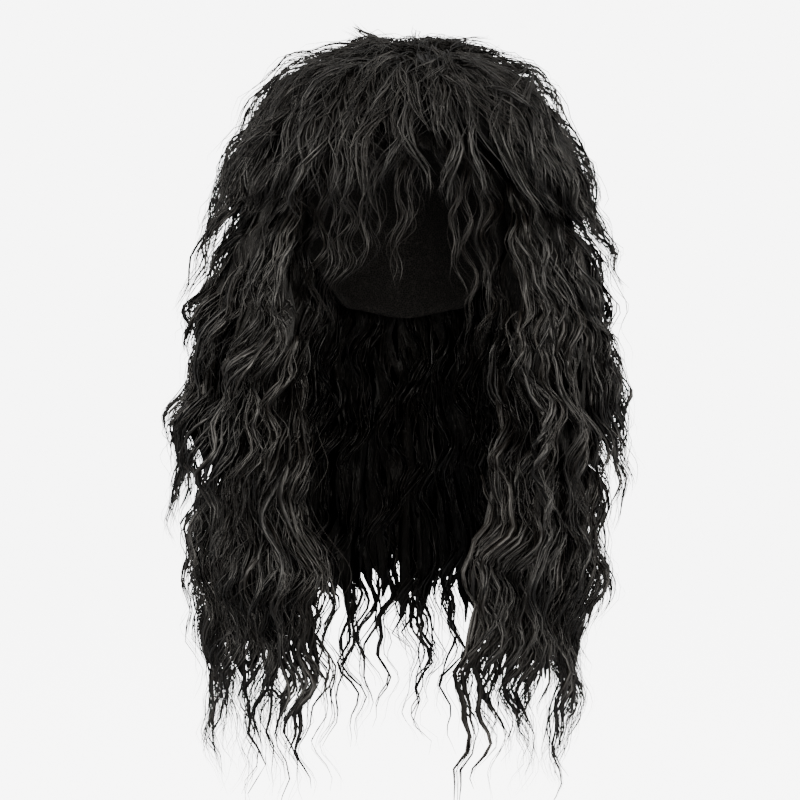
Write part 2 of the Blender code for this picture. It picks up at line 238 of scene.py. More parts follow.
# Streaks are single fibres and clumps are bundles of them: width and length in metres, detail of the noise,
# and share in the height.
Streak = namedtuple("Streak", "width length detail share")
FINE_STREAK = Streak(0.0010, 0.030, 2.0, 0.6)
CLUMP_STREAK = Streak(0.0045, 0.060, 1.0, 0.4)
WISPS_APART = 97.0

# How far from dark to light: so much of the height, whose low valleys are painted shade between the fibres,
# so much of the wisp's own tone, and a constant.
PAINTED_SHADE_BY_HEIGHT, LIGHT_BY_TONE, LIGHT_OFFSET = 1.7, 0.8, -0.85

fibre_group = bpy.data.node_groups.new("fibre_streaks", "ShaderNodeTree")
for name, way, kind in (
    ("Tone", "INPUT", "NodeSocketFloat"),
    ("Dark", "INPUT", "NodeSocketColor"),
    ("Light", "INPUT", "NodeSocketColor"),
    ("Colour", "OUTPUT", "NodeSocketColor"),
    ("Roughness", "OUTPUT", "NodeSocketFloat"),
    ("Height", "OUTPUT", "NodeSocketFloat"),
):
    fibre_group.interface.new_socket(name=name, in_out=way, socket_type=kind)
nodes, links = fibre_group.nodes, fibre_group.links
taken, given = nodes.new("NodeGroupInput"), nodes.new("NodeGroupOutput")
layout = nodes.new("ShaderNodeUVMap")
layout.uv_map = "Fibre"


def streaks_of(streak):
    """Noise drawn out along the fibre, different on each wisp."""
    stretch = nodes.new("ShaderNodeMapping")
    stretch.inputs["Scale"].default_value = (1 / streak.width, 1 / streak.length, 1.0)
    links.new(layout.outputs["UV"], stretch.inputs["Vector"])
    noise = nodes.new("ShaderNodeTexNoise")
    noise.noise_dimensions = "4D"
    noise.inputs["Scale"].default_value = 1.0
    noise.inputs["Detail"].default_value = streak.detail
    links.new(stretch.outputs["Vector"], noise.inputs["Vector"])
    apart = nodes.new("ShaderNodeMath")
    apart.operation = "MULTIPLY"
    apart.inputs[1].default_value = WISPS_APART
    links.new(taken.outputs["Tone"], apart.inputs[0])
    links.new(apart.outputs["Value"], noise.inputs["W"])
    return noise.outputs["Fac"]


def sum_of(first, first_share, second, second_share, rest=0.0):
    """first * first_share + second * second_share + rest"""
    low = nodes.new("ShaderNodeMath")
    low.operation = "MULTIPLY_ADD"
    low.inputs[1].default_value = first_share
    low.inputs[2].default_value = rest
    links.new(first, low.inputs[0])
    high = nodes.new("ShaderNodeMath")
    high.operation = "MULTIPLY_ADD"
    high.inputs[1].default_value = second_share
    links.new(second, high.inputs[0])
    links.new(low.outputs["Value"], high.inputs[2])
    return high.outputs["Value"]


fine = streaks_of(FINE_STREAK)
height = sum_of(fine, FINE_STREAK.share, streaks_of(CLUMP_STREAK), CLUMP_STREAK.share)
# Darker where the streaks' height is low, as painted shade between the fibres, and darker on dark wisps.
tone_and_painted_shade = sum_of(height, PAINTED_SHADE_BY_HEIGHT, taken.outputs["Tone"], LIGHT_BY_TONE, LIGHT_OFFSET)
mix = nodes.new("ShaderNodeMix")
mix.data_type = "RGBA"
links.new(tone_and_painted_shade, mix.inputs["Factor"])
links.new(taken.outputs["Dark"], mix.inputs["A"])
links.new(taken.outputs["Light"], mix.inputs["B"])
links.new(mix.outputs["Result"], given.inputs["Colour"])
satin = nodes.new("ShaderNodeMapRange")
satin.inputs["To Min"].default_value = SMOOTHEST
satin.inputs["To Max"].default_value = ROUGHEST
links.new(fine, satin.inputs["Value"])
links.new(satin.outputs["Result"], given.inputs["Roughness"])
links.new(height, given.inputs["Height"])


def fibre_material(name, dark, light, relief, specular):
    """A fibre from dark to light, with painted shade in the low valleys of its streaks. How light each wisp
    is comes from the attribute tone.
    """
    made = bpy.data.materials.new(name)
    made.use_nodes = True
    tree = made.node_tree
    look = tree.nodes.new("ShaderNodeGroup")
    look.node_tree = fibre_group
    look.inputs["Dark"].default_value = dark
    look.inputs["Light"].default_value = light
    wisp = tree.nodes.new("ShaderNodeAttribute")
    wisp.attribute_name = "tone"
    tree.links.new(wisp.outputs["Fac"], look.inputs["Tone"])
    ridges = tree.nodes.new("ShaderNodeBump")
    ridges.inputs["Strength"].default_value = RELIEF_STRENGTH
    ridges.inputs["Distance"].default_value = relief
    tree.links.new(look.outputs["Height"], ridges.inputs["Height"])
    principled = tree.nodes["Principled BSDF"]
    tree.links.new(look.outputs["Colour"], principled.inputs["Base Color"])
    tree.links.new(look.outputs["Roughness"], principled.inputs["Roughness"])
    tree.links.new(ridges.outputs["Normal"], principled.inputs["Normal"])
    principled.inputs["Specular IOR Level"].default_value = specular
    return made


fibre = fibre_material("crimped_fibre", FIBRE_DARK, FIBRE_LIGHT, FIBRE_RELIEF, FIBRE_SPECULAR)
shaded_deep_fibre = fibre_material("shaded_deep_fibre", SHADED_DEPTH_DARK, SHADED_DEPTH_LIGHT, DEPTH_RELIEF, DEPTH_SPECULAR)

# Long layers
# The longest wefts are sewn round the cap and hang as a mass down each side of its open front and a curtain
# down the back. One slow wave runs through the whole wig, and each lock adds its own crimp to it.
HAIR_RUN = 0.580
HAIR_VOLUME = 0.080
SEAT_GAP = 0.0015
LAYER_GAP = 0.0030
LAYER_STEP = 0.030
WAVE_PITCH = 0.080
WAVE_SWAY = 0.0060
WAVE_LIFT = 0.0040
WAVE_DRIFT = 2.2
WAVE_DRIFTS_ROUND = 3
CURL_START = 0.110
CURL_GROWTH = 0.120
HAIR_LEAN = -0.010
MIN_REACH = 0.035

# A layer's form down HAIR_RUN: how far it stands off what lies under it and how thick it is, at the side,
# back and front, as shares of HAIR_VOLUME, and how much of a half turn it goes round to each side.
Form = namedtuple("Form", "run side back front side_bulk back_bulk front_bulk turn")
LONG_FORM = (
    Form(0.16, 0.00, 0.00, 0.00, 0.04, 0.04, 0.04, 0.67),
    Form(0.24, 0.00, 0.00, 0.00, 0.16, 0.14, 0.12, 0.68),
    Form(0.30, 0.00, 0.00, 0.00, 0.24, 0.18, 0.16, 0.69),
    Form(0.37, 0.00, 0.02, 0.00, 0.32, 0.24, 0.20, 0.70),
    Form(0.45, 0.00, 0.04, 0.00, 0.40, 0.30, 0.24, 0.72),
    Form(0.52, 0.10, 0.06, 0.02, 0.54, 0.34, 0.28, 0.75),
    Form(0.60, 0.26, 0.12, 0.06, 0.54, 0.40, 0.32, 0.79),
    Form(0.71, 0.38, 0.20, 0.14, 0.50, 0.42, 0.34, 0.85),
    Form(0.78, 0.37, 0.22, 0.16, 0.40, 0.36, 0.30, 0.86),
    Form(0.88, 0.38, 0.23, 0.16, 0.36, 0.30, 0.26, 0.86),
    Form(1.00, 0.36, 0.24, 0.16, 0.28, 0.26, 0.22, 0.85),
)

# A layer is its form and the function that gives the depth where it starts. A part of it lies between two
# shares of its half turn, from -1 at the front over 0 at the back to 1.
Layer = namedtuple("Layer", "form inner")
Part = namedtuple("Part", "name start end")
LONG_PARTS = (
    Part("left_long", -1.00, -0.46),
    Part("back_long", -0.46, 0.46),
    Part("right_long", 0.46, 1.00),
)

# A tier of locks: how many, where their roots and tips lie down HAIR_RUN, how deep they lie there in the
# layer's bulk, how far the tips flick out, in metres, and how many stretches a wisp has.
Tier = namedtuple("Tier", "locks root_from root_to tip_from tip_to seat_root seat_tip flick segments")
SIDE_TIERS = (
    Tier(22, 0.29, 0.40, 0.86, 1.00, 0.20, 0.80, 0.001, 44),
    Tier(22, 0.38, 0.52, 0.72, 0.96, 0.40, 1.00, 0.002, 29),
    Tier(18, 0.46, 0.62, 0.64, 0.86, 0.55, 1.16, 0.004, 17),
    Tier(26, 0.56, 0.72, 0.86, 1.00, 0.30, 0.95, 0.002, 21),
)
FREE_TIER = Tier(6, 0.46, 0.56, 0.76, 0.88, 0.80, 1.28, 0.002, 20)
FREE_FROM, FREE_TO = 0.50, 0.74
BACK_TIERS = (
    Tier(14, 0.29, 0.40, 0.86, 1.00, 0.20, 0.80, 0.001, 44),
    Tier(14, 0.38, 0.52, 0.80, 0.98, 0.40, 1.00, 0.002, 29),
    Tier(12, 0.46, 0.62, 0.68, 0.88, 0.50, 1.02, 0.002, 17),
    Tier(14, 0.28, 0.46, 0.84, 0.99, -0.02, 0.15, 0.000, 38),
)

# What a lock is made of: how many wisps of each kind, their width, their thickness and spread as shares of
# the width and of the lock, and how loosely they follow it.
Kind = namedtuple("Kind", "wisps width lift spread loose")
KINDS = (
    Kind(3, 0.0036, 0.34, 0.75, 0.0),
    Kind(4, 0.0013, 0.90, 1.05, 0.3),
    Kind(2, 0.0005, 0.90, 1.60, 1.0),
)

# From lock to lock: the radius, the pitch and sway of its own crimp and the slope sideways, in metres, the
# seats, as shares of the way from root seat to tip seat, and how much of the flick it takes.
LOCK_RADIUS = (0.0040, 0.0095)
LOCK_PITCH = (0.032, 0.046)
LOCK_SWAY = (0.0022, 0.0048)
LOCK_SLOPE = 0.008
SEAT_AT_ROOT, SEAT_AT_TIP = (-0.1, 0.2), (-0.5, 0.1)
FLICK_TAKEN = (0.2, 2.2)
Locks = namedtuple("Locks", "share root tip seat_root seat_tip radius phase pitch sway slope flick tone")

# A lock forks in three. Down a wisp, from 0 at its root to 1 at its tip: how far the forks stand apart, how
# far the wisps of one fork do, where loose ones close less, and how broad a wisp is.
FORKS, FORK_REACH = 3, 0.6
FORKS_AT, FORKS_APART, FORKS_CLOSE = (0, 0.25, 0.6, 1), (0.6, 1.0, 0.95), 0.5
WISPS_AT, WISPS_APART = (0, 0.4, 0.8, 1), (1.0, 0.95, 0.55)
WISPS_CLOSE, LOOSE_CLOSE = 0.2, 0.8
TAPER_AT, TAPER = (0, 0.06, 0.5, 0.82, 1), (0.4, 1.0, 1.0, 0.58, 0.06)

# A lock is less deep than wide, by the first share. It has opened in depth, and come to the seat of its tip,
# at the other two shares of its length.
LOCK_FLATNESS, LOCK_OPENED, SEAT_REACHED = 0.7, 0.2, 0.6

# From wisp to wisp: how much sooner it ends and later it starts, as shares of its lock, how far its crimp is
# out of step, and how strong the crimp is, which grows within CRIMP_GROWTH metres of the root. What a loose
# wisp adds stands beside it.
ENDS_SOONER, STARTS_LATER = 0.25, 0.35
OUT_OF_STEP, LOOSE_OUT_OF_STEP = 0.25, 0.6
CRIMP_AT_ROOT, CRIMP_GROWTH, CRIMP_LIFT = 0.15, 0.035, 0.65
CRIMP_WEAKEST, LOOSE_WEAKEST = 0.8, -0.3
CRIMP_STRONGEST, LOOSE_STRONGEST = 1.2, 0.5

# A wisp wanders from its lock in slow waves (how many in its length, and their size in metres) and twists
# to and fro once in two waves of its crimp. It keeps clear of the cap's wall.
Wander = namedtuple("Wander", "waves size")
WANDERS = (
    Wander(0.7, 0.0028),
    Wander(1.9, 0.0020),
    Wander(4.3, 0.0009),
)
WANDER_TIGHT, WANDER_LOOSE, WANDER_GROWTH, WANDER_LIFT = 0.5, 1.0, 0.3, 0.6
TWIST, TWIST_PER_BEAT, TWIST_BY_CHANCE = 0.35, 0.5, 0.30
WISP_BREADTH = (0.6, 1.3)
WISP_TONE = 0.16
CAP_CLEARANCE = 0.0008
Batch = namedtuple("Batch", "centre outward width lift tone")

# In the bake's layout: how many strips lie on a shelf, and where a wisp starts in its strip and how much of
# it the wisp takes. In the fibre's layout: the share of a wisp's breadth that each of its sides takes.
BAKE_STRIPS = 128
STRIP_ACROSS, STRIP_ALONG = (0.15, 0.70), (0.04, 0.92)
SIDE_BREADTH = 0.55


def round_head(side, back, front, turn):
    """A value between those at the side, the back and the front."""
    along = np.cos(turn)
    return side * (1 - along * along) + np.where(along > 0, back, front) * along * along


def bulk(form, turn, run):
    """How thick a layer of this form is."""
    at = table_at(form, run / HAIR_RUN)
    return HAIR_VOLUME * round_head(at.side_bulk, at.back_bulk, at.front_bulk, turn)


def standoff(form, turn, run):
    """How far a layer of this form stands off what lies under it."""
    at = table_at(form, run / HAIR_RUN)
    return HAIR_VOLUME * round_head(at.side, at.back, at.front, turn)


def long_inner(turn, run):
    return CAP_WALL + SEAT_GAP + standoff(LONG_FORM, turn, run)


def stacked(turn, run, form, inner):
    """The depth where the next layer out starts: the seat on the cap, easing to clear this layer."""
    seat = CAP_WALL + SEAT_GAP
    over = inner(turn, run) + bulk(form, turn, run) + LAYER_GAP
    return seat + (over - seat) * eased((run - form[0].run * HAIR_RUN) / LAYER_STEP + 0.5)


def hair_points(turn, run, depth, sideways):
    """Places in the hair, with the wave that all layers share and the slight lean of the whole wig."""
    growth = eased((run - CURL_START) / CURL_GROWTH)
    beat = 2 * math.pi * run / WAVE_PITCH + WAVE_DRIFT * np.sin(WAVE_DRIFTS_ROUND * turn)
    points, outward = scalp(turn, run)
    reach = np.hypot(points[..., 0] + outward[..., 0] * depth, points[..., 1] + outward[..., 1] * depth)
    turned = turn + (growth * WAVE_SWAY * np.sin(beat) + sideways) / np.maximum(reach, MIN_REACH)
    points, outward = scalp(turned, run)
    points = points + outward * (depth + growth * WAVE_LIFT * np.cos(beat))[..., None]
    points[..., 0] += HAIR_LEAN * eased((run - DOME_RUN) / (HAIR_RUN - DOME_RUN))
    return points, outward


def full_turn(layer, run):
    """The turn that a layer's shares of 1 stand for."""
    return math.pi * table_at(layer.form, run / HAIR_RUN).turn


def draw_locks(tier, start, end, rng, slope=LOCK_SLOPE, parted=0.0):
    """Where the locks of a tier grow between two shares of the turn, and how each of them waves.

    Slope is how much they stray sideways by chance, and parted how far those in front fall to their side.
    """
    count = tier.locks
    lanes = (np.arange(count) + rng.uniform(0, 1, count)) / count
    rng.shuffle(lanes)
    share = start + (end - start) * lanes
    in_front = np.minimum(0, np.sin(2 * math.pi * abs(share))) * np.sign(share)
    return Locks(
        share=share,
        root=HAIR_RUN * rng.uniform(tier.root_from, tier.root_to, count),
        tip=HAIR_RUN * rng.uniform(tier.tip_from, tier.tip_to, count),
        seat_root=tier.seat_root + rng.uniform(*SEAT_AT_ROOT, count) * (tier.seat_tip - tier.seat_root),
        seat_tip=tier.seat_tip + rng.uniform(*SEAT_AT_TIP, count) * (tier.seat_tip - tier.seat_root),
        radius=rng.uniform(*LOCK_RADIUS, count),
        phase=rng.uniform(0, 2 * math.pi, count),
        pitch=rng.uniform(*LOCK_PITCH, count),
        sway=rng.uniform(*LOCK_SWAY, count),
        slope=rng.normal(0, slope, count) + parted * in_front,
        flick=tier.flick * rng.uniform(*FLICK_TAKEN, count),
        tone=rng.uniform(0.0, 1.0, count),
    )


def comb(layer, locks, kind, segments, rng, closing=FORKS_CLOSE, heading=None):
    """A batch of wisps. Those of a lock share its wave, spread along its middle and close at its tips.

    A lock hangs straight down from its root, or with a heading it crosses the top of the cap that way.
    """
    count = len(locks.share) * kind.wisps
    loose = kind.loose

    def each(values):
        """A lock's value for each of its wisps."""
        return np.repeat(values, kind.wisps)[:, None]

    def chance(low, high):
        """A random value for each wisp."""
        return rng.uniform(low, high, (count, 1))

    down = np.linspace(0, 1, segments + 1)[None, :]
    angle = chance(0, 2 * math.pi)
    away = kind.spread * np.sqrt(chance(0, 1))
    side, out = away * np.cos(angle), away * np.sin(angle)
    fork = rng.integers(0, FORKS, (count, 1)) * 2 * math.pi / FORKS + each(locks.phase)
    fork_side, fork_out = FORK_REACH * np.cos(fork), FORK_REACH * np.sin(fork)
    sooner = ENDS_SOONER * chance(0, 1) ** 2 * (1 + loose)
    later = STARTS_LATER * loose * chance(0, 1)

    root = each(locks.root) + (each(locks.tip) - each(locks.root)) * later
    tip = each(locks.tip) - (each(locks.tip) - each(locks.root)) * sooner
    run = root + (tip - root) * down
    turn = each(locks.share) * full_turn(layer, run)
    beat = 2 * math.pi * run / each(locks.pitch) + each(locks.phase)
    if heading is not None:
        east = root * np.sin(turn) + (run - root) * np.sin(each(heading))
        north = root * np.cos(turn) + (run - root) * np.cos(each(heading))
        run, turn = np.hypot(east, north), np.arctan2(east, north)

    beat = beat + rng.normal(0, OUT_OF_STEP + LOOSE_OUT_OF_STEP * loose, (count, 1))
    crimp = each(locks.sway) * eased((tip - root) * down / CRIMP_GROWTH + CRIMP_AT_ROOT)
    crimp = crimp * chance(CRIMP_WEAKEST + LOOSE_WEAKEST * loose, CRIMP_STRONGEST + LOOSE_STRONGEST * loose)
    forked = np.interp(down, FORKS_AT, (*FORKS_APART, closing))
    spread = np.interp(down, WISPS_AT, (*WISPS_APART, WISPS_CLOSE + LOOSE_CLOSE * loose))
    wander = np.zeros_like(run)
    for waves, size in WANDERS:
        phase = chance(0, 2 * math.pi)
        wave = np.sin(2 * math.pi * waves * down + phase) - np.sin(phase)
        wander = wander + size * (WANDER_TIGHT + WANDER_LOOSE * loose) * wave * eased(down / WANDER_GROWTH)

    radius = each(locks.radius)
    sideways = radius * (forked * fork_side + spread * (side - fork_side)) + crimp * np.sin(beat)
    sideways = sideways + wander + each(locks.slope) * down ** 2
    seated = eased(down / SEAT_REACHED)
    seat = each(locks.seat_root) + (each(locks.seat_tip) - each(locks.seat_root)) * seated
    opened = LOCK_FLATNESS * radius * (forked * fork_out + spread * (out - fork_out))
    depth = layer.inner(turn, run) + bulk(layer.form, turn, run) * seat
    depth = depth + opened * eased(down / LOCK_OPENED)
    depth = depth + CRIMP_LIFT * crimp * np.cos(beat) + WANDER_LIFT * wander + each(locks.flick) * down ** 3
    depth = np.maximum(depth, CAP_WALL + CAP_CLEARANCE)
    centre, outward = hair_points(turn, run, depth, sideways)

    twist = TWIST * np.sin(beat * TWIST_PER_BEAT + angle) + rng.normal(0, TWIST_BY_CHANCE, (count, 1))
    along = np.gradient(centre, axis=1)
    along /= np.linalg.norm(along, axis=2, keepdims=True)
    flat = np.cross(along, outward)
    outward = outward * np.cos(twist)[..., None] + flat * np.sin(twist)[..., None]
    width = kind.width * chance(*WISP_BREADTH) * np.interp(down, TAPER_AT, TAPER)
    tone = np.clip(np.repeat(locks.tone, kind.wisps) + rng.normal(0, WISP_TONE, count), 0, 1)
    return Batch(centre, outward, width, kind.lift, tone)


def weft(name, batches, nodes):
    """All wisps of a piece as one mesh of closed, tapered, three-sided tubes, made from arrays.

    Each wisp has a strip of its own in the bake's layout, and its real size in the fibre's layout.
    """
    vertices, corners, sizes, bake, metres, tones = [], [], [], [], [], []
    wisps = sum(len(batch.tone) for batch in batches)
    shelves = math.ceil(wisps / BAKE_STRIPS)
    first_vertex = first_wisp = 0
    for batch in batches:
        count, rings = batch.centre.shape[:2]
        along = np.gradient(batch.centre, axis=1)
        along /= np.linalg.norm(along, axis=2, keepdims=True)
        flat = np.cross(along, batch.outward)
        flat /= np.linalg.norm(flat, axis=2, keepdims=True)
        up = np.cross(flat, along)
        half = (batch.width / 2)[..., None]
        ridge = batch.centre + up * half * batch.lift
        around = [batch.centre + flat * half, ridge, batch.centre - flat * half]
        vertices.append(np.stack(around, axis=2).reshape(-1, 3))

        low = first_vertex + np.arange(count)[:, None, None] * rings * 3 + np.arange(rings - 1)[:, None] * 3
        corner = np.arange(3)
        after = (corner + 1) % 3
        sides = np.stack([low + corner, low + after, low + 3 + after, low + 3 + corner], axis=-1)
        start = first_vertex + np.arange(count)[:, None] * rings * 3
        ends = np.concatenate([start + corner[::-1], start + (rings - 1) * 3 + corner])
        corners += [sides.ravel(), ends.ravel()]
        sizes += [np.full(sides.size // 4, 4), np.full(len(ends), 3)]

        length = np.linalg.norm(np.diff(batch.centre, axis=1), axis=2)
        travelled = np.concatenate([np.zeros((count, 1)), np.cumsum(length, axis=1)], axis=1)
        shape = (count, rings - 1, 3)
        across = np.stack([np.broadcast_to(corner, shape)] * 4, axis=-1) + np.array([0, 1, 1, 0])
        row = np.broadcast_to(np.arange(rings - 1)[:, None], shape)[..., None] + np.array([0, 0, 1, 1])
        number = first_wisp + np.arange(count)
        strip, shelf = number % BAKE_STRIPS, number // BAKE_STRIPS
        bake.append(np.stack([
            (strip[:, None, None, None] + STRIP_ACROSS[0] + STRIP_ACROSS[1] * across / 3) / BAKE_STRIPS,
            (shelf[:, None, None, None] + STRIP_ALONG[0] + STRIP_ALONG[1] * row / (rings - 1)) / shelves,
        ], axis=-1).reshape(-1, 2))
        at_end = np.stack([(strip + 0.5) / BAKE_STRIPS, (shelf + STRIP_ALONG[0]) / shelves], axis=-1)
        bake.append(np.tile(np.repeat(at_end, 3, axis=0), (2, 1)))
        broad = batch.width.max(axis=1)[:, None, None, None]
        reached = travelled[np.arange(count)[:, None, None, None], row]
        metres.append(np.stack([SIDE_BREADTH * broad * across, reached], axis=-1).reshape(-1, 2))
        metres.append(np.zeros((ends.size, 2)))
        tones.append(np.repeat(batch.tone, rings * 3))
        first_vertex += count * rings * 3
        first_wisp += count

    corners = np.concatenate(corners)
    sizes = np.concatenate(sizes)
    data = bpy.data.meshes.new(name)
    data.vertices.add(first_vertex)
    data.vertices.foreach_set("co", np.concatenate(vertices).astype(np.float32).ravel())
    data.loops.add(len(corners))
    data.loops.foreach_set("vertex_index", corners.astype(np.int32))
    data.polygons.add(len(sizes))
    data.polygons.foreach_set("loop_start", (np.cumsum(sizes) - sizes).astype(np.int32))
    data.update(calc_edges=True)
    for title, values in (("OFBake", bake), ("Fibre", metres)):
        layout = data.uv_layers.new(name=title)
        layout.data.foreach_set("uv", np.concatenate(values).astype(np.float32).ravel())
    shade = data.attributes.new("tone", "FLOAT", "POINT")
    shade.data.foreach_set("value", np.concatenate(tones).astype(np.float32))
    return hang(name, data, fibre, nodes)


# Under the wisps lies a wall of deep hair, coloured darker than the wisps as painted shade. Its grid, where
# it starts and ends down HAIR_RUN, and how much of the layer's bulk it fills, beginning at WALL_BASE of it.
# It takes
# WALL_SHARE of its part's turn.
Wall = namedtuple("Wall", "columns rows root last fill")
SIDE_WALL = Wall(70, 28, 0.20, 0.84, 0.58)
BACK_WALL = Wall(70, 28, 0.20, 0.79, 0.58)
WALL_SHARE, WALL_BASE = 0.95, 0.22

# It thins towards its root, its lower edge and its sides, where it keeps a share of its thickness and
# regains it steeply. Its lower edge ends in points, long and short by turns.
WALL_AT, WALL_TAPER = (0, 0.08, 0.84, 1), (0.3, 1.0, 0.9, 0.08)
WALL_SIDE_SHARE, WALL_SIDE_RISE = 0.1, 9
LONG_POINTS, SHORT_POINTS = (0.88, 1.00), (0.74, 0.84)

# Its ripples cross it at several pitches round the cap and down the hair. It sways sideways as locks do,
# and the streaks on it wave.
RIPPLES, RIPPLES_ROUND, RIPPLES_MORE, RIPPLES_DOWN = 4, 19, 11, 30
RIPPLE_OUTSIDE, RIPPLE_INSIDE = 0.12, 0.0015
WALL_SWAY, WALL_PITCH, WALL_DRIFT, WALL_DRIFTS_ROUND, WALL_GROWTH = 0.0035, 0.040, 2.5, 5, 0.05
STREAK_SWAY, STREAK_PITCH, STREAK_DRIFT, STREAK_RADIUS = 0.0030, 0.038, 2.0, 0.12
WALL_TONE, WALL_TONE_RANGE, WALL_TONE_ACROSS, WALL_TONE_ALONG = 0.5, 0.4, 91, 73


def under_hair(name, layer, start, end, wall, nodes, closed=False, cut=1.0):
    """The deep hair that shows between a part's wisps: one closed, rippled wall with a pointed lower edge.

    With closed it goes all round, and cut is how much of its length it keeps in front.
    """
    columns = wall.columns
    root, last = HAIR_RUN * wall.root, HAIR_RUN * wall.last
    rng = np.random.default_rng(columns + wall.rows)
    points = rng.uniform(*LONG_POINTS, columns + 1)
    points[1::2] = rng.uniform(*SHORT_POINTS, columns // 2)
    points[-1] = points[0]
    phases = rng.uniform(0, 2 * math.pi, RIPPLES)

    def place(across, down, side):
        column = np.clip(np.rint(across * columns).astype(int), 0, columns)
        share = start + (end - start) * across
        lowest = root + (last - root) * points[column] * round_head(1, 1, cut, share * math.pi)
        run = root + (lowest - root) * down
        turn = share * full_turn(layer, run)
        ripple = sum(
            np.sin(turn * (RIPPLES_ROUND + RIPPLES_MORE * i) + phases[i] + RIPPLES_DOWN * run * (1 + i))
            for i in range(RIPPLES)) / RIPPLES
        taper = np.interp(down, WALL_AT, WALL_TAPER)
        if not closed:
            from_side = np.minimum(across, 1 - across)
            taper = taper * np.minimum(1, WALL_SIDE_SHARE + WALL_SIDE_RISE * from_side)
        filled = WALL_BASE + taper * side * (wall.fill + RIPPLE_OUTSIDE * ripple)
        depth = layer.inner(turn, run) + bulk(layer.form, turn, run) * filled
        depth = depth + RIPPLE_INSIDE * ripple * (1 - side)
        drift = WALL_DRIFT * np.sin(turn * WALL_DRIFTS_ROUND)
        sway = WALL_SWAY * np.sin(2 * math.pi * run / WALL_PITCH + drift)
        return hair_points(turn, run, depth, sway * eased((run - root) / WALL_GROWTH))[0]

    data = walled_grid(name, columns, wall.rows, place, closed)
    at = np.empty(len(data.vertices) * 3, dtype=np.float32)
    data.vertices.foreach_get("co", at)
    at = at.reshape(-1, 3)
    drawn = np.sin(at[:, 0] * WALL_TONE_ACROSS + at[:, 1] * WALL_TONE_ALONG)
    shade = data.attributes.new("tone", "FLOAT", "POINT")
    shade.data.foreach_set("value", WALL_TONE + WALL_TONE_RANGE * drawn)
    corners = np.empty(len(data.loops), dtype=np.int32)
    data.loops.foreach_get("vertex_index", corners)
    around = np.arctan2(at[:, 0], at[:, 1])
    drift = STREAK_DRIFT * np.sin(WALL_DRIFTS_ROUND * around)
    wave = STREAK_SWAY * np.sin(2 * math.pi * at[:, 2] / STREAK_PITCH + drift)
    metres = np.stack([around * STREAK_RADIUS + wave, at[:, 2]], axis=-1)
    layout = data.uv_layers.new(name="Fibre")
    layout.data.foreach_set("uv", metres[corners].ravel())
    # The wall wears the darker copy of the fibre, as painted shade between the wisps.
    return hang(name, data, shaded_deep_fibre, nodes)


LONG = Layer(LONG_FORM, long_inner)
rng = np.random.default_rng(11)
for part in LONG_PARTS:
    node = part.name + "_layer"
    batches = []
    for tier in BACK_TIERS if part.name == "back_long" else SIDE_TIERS:
        locks = draw_locks(tier, part.start, part.end, rng)
        batches += [comb(LONG, locks, kind, tier.segments, rng) for kind in KINDS]
    if part.name != "back_long":
        side = np.sign(part.start + part.end)
        locks = draw_locks(FREE_TIER, side * FREE_FROM, side * FREE_TO, rng)
        batches += [comb(LONG, locks, kind, FREE_TIER.segments, rng) for kind in KINDS]
    weft(part.name + "_wisps", batches, [node])
    wall = BACK_WALL if part.name == "back_long" else SIDE_WALL
    under_hair(part.name + "_depth", LONG, part.start * WALL_SHARE, part.end * WALL_SHARE, wall, [node])

# Middle layers
# Shorter wefts are sewn higher up and fall over the upper half of the long ones. Their ends are cut
# choppily and flick outwards, which gives the wig its stepped, widening outline.
MIDDLE_FORM = (
    Form(0.10, 0.00, 0.00, 0.00, 0.05, 0.05, 0.05, 0.700),
    Form(0.17, 0.00, 0.00, 0.00, 0.14, 0.14, 0.12, 0.710),
    Form(0.24, 0.00, 0.00, 0.00, 0.32, 0.20, 0.18, 0.740),
    Form(0.30, 0.00, 0.00, 0.00, 0.49, 0.26, 0.22, 0.770),
    Form(0.37, 0.00, 0.00, 0.00, 0.60, 0.30, 0.26, 0.785),
    Form(0.45, 0.00, 0.00, 0.00, 0.59, 0.30, 0.26, 0.790),
    Form(0.52, 0.00, 0.00, 0.00, 0.46, 0.28, 0.24, 0.790),
    Form(0.60, 0.00, 0.00, 0.00, 0.30, 0.24, 0.20, 0.795),
    Form(0.68, 0.00, 0.00, 0.00, 0.20, 0.16, 0.16, 0.800),
)

# The middle and crown layers clear the fringe, which they cover at its root.
FRINGE_FORM = (
    Form(0.08, 0.00, 0.00, 0.00, 0.00, 0.00, 0.06, 1.00),
    Form(0.16, 0.00, 0.00, 0.04, 0.00, 0.00, 0.12, 1.00),
    Form(0.24, 0.04, 0.00, 0.08, 0.00, 0.00, 0.12, 1.00),
    Form(0.42, 0.08, 0.00, 0.12, 0.00, 0.00, 0.10, 1.00),
)

MIDDLE_PARTS = (
    Part("left_middle", -1.00, -0.40),
    Part("back_middle", -0.40, 0.40),
    Part("right_middle", 0.40, 1.00),
)
MIDDLE_TIERS = (
    Tier(24, 0.15, 0.22, 0.30, 0.44, 0.30, 1.00, 0.002, 17),
    Tier(24, 0.20, 0.32, 0.42, 0.62, 0.45, 1.00, 0.002, 23),
    Tier(22, 0.26, 0.40, 0.38, 0.56, 0.60, 1.03, 0.004, 13),
    Tier(26, 0.34, 0.46, 0.56, 0.70, 0.60, 1.00, 0.002, 21),
)
BACK_MIDDLE_SHARE = 0.6
MIDDLE_SLOPE, MIDDLE_PARTED = 0.010, 0.022
MIDDLE_WALL = Wall(56, 24, 0.11, 0.58, 0.66)


def fringe_inner(turn, run):
    return CAP_WALL + SEAT_GAP + standoff(FRINGE_FORM, turn, run)


def clear_of_fringe(turn, run, depth):
    """The depth, and in front of the cap no less than what clears the fringe."""
    over_fringe = stacked(turn, run, FRINGE_FORM, fringe_inner)
    return np.where(np.cos(turn) < 0, np.maximum(depth, over_fringe), depth)


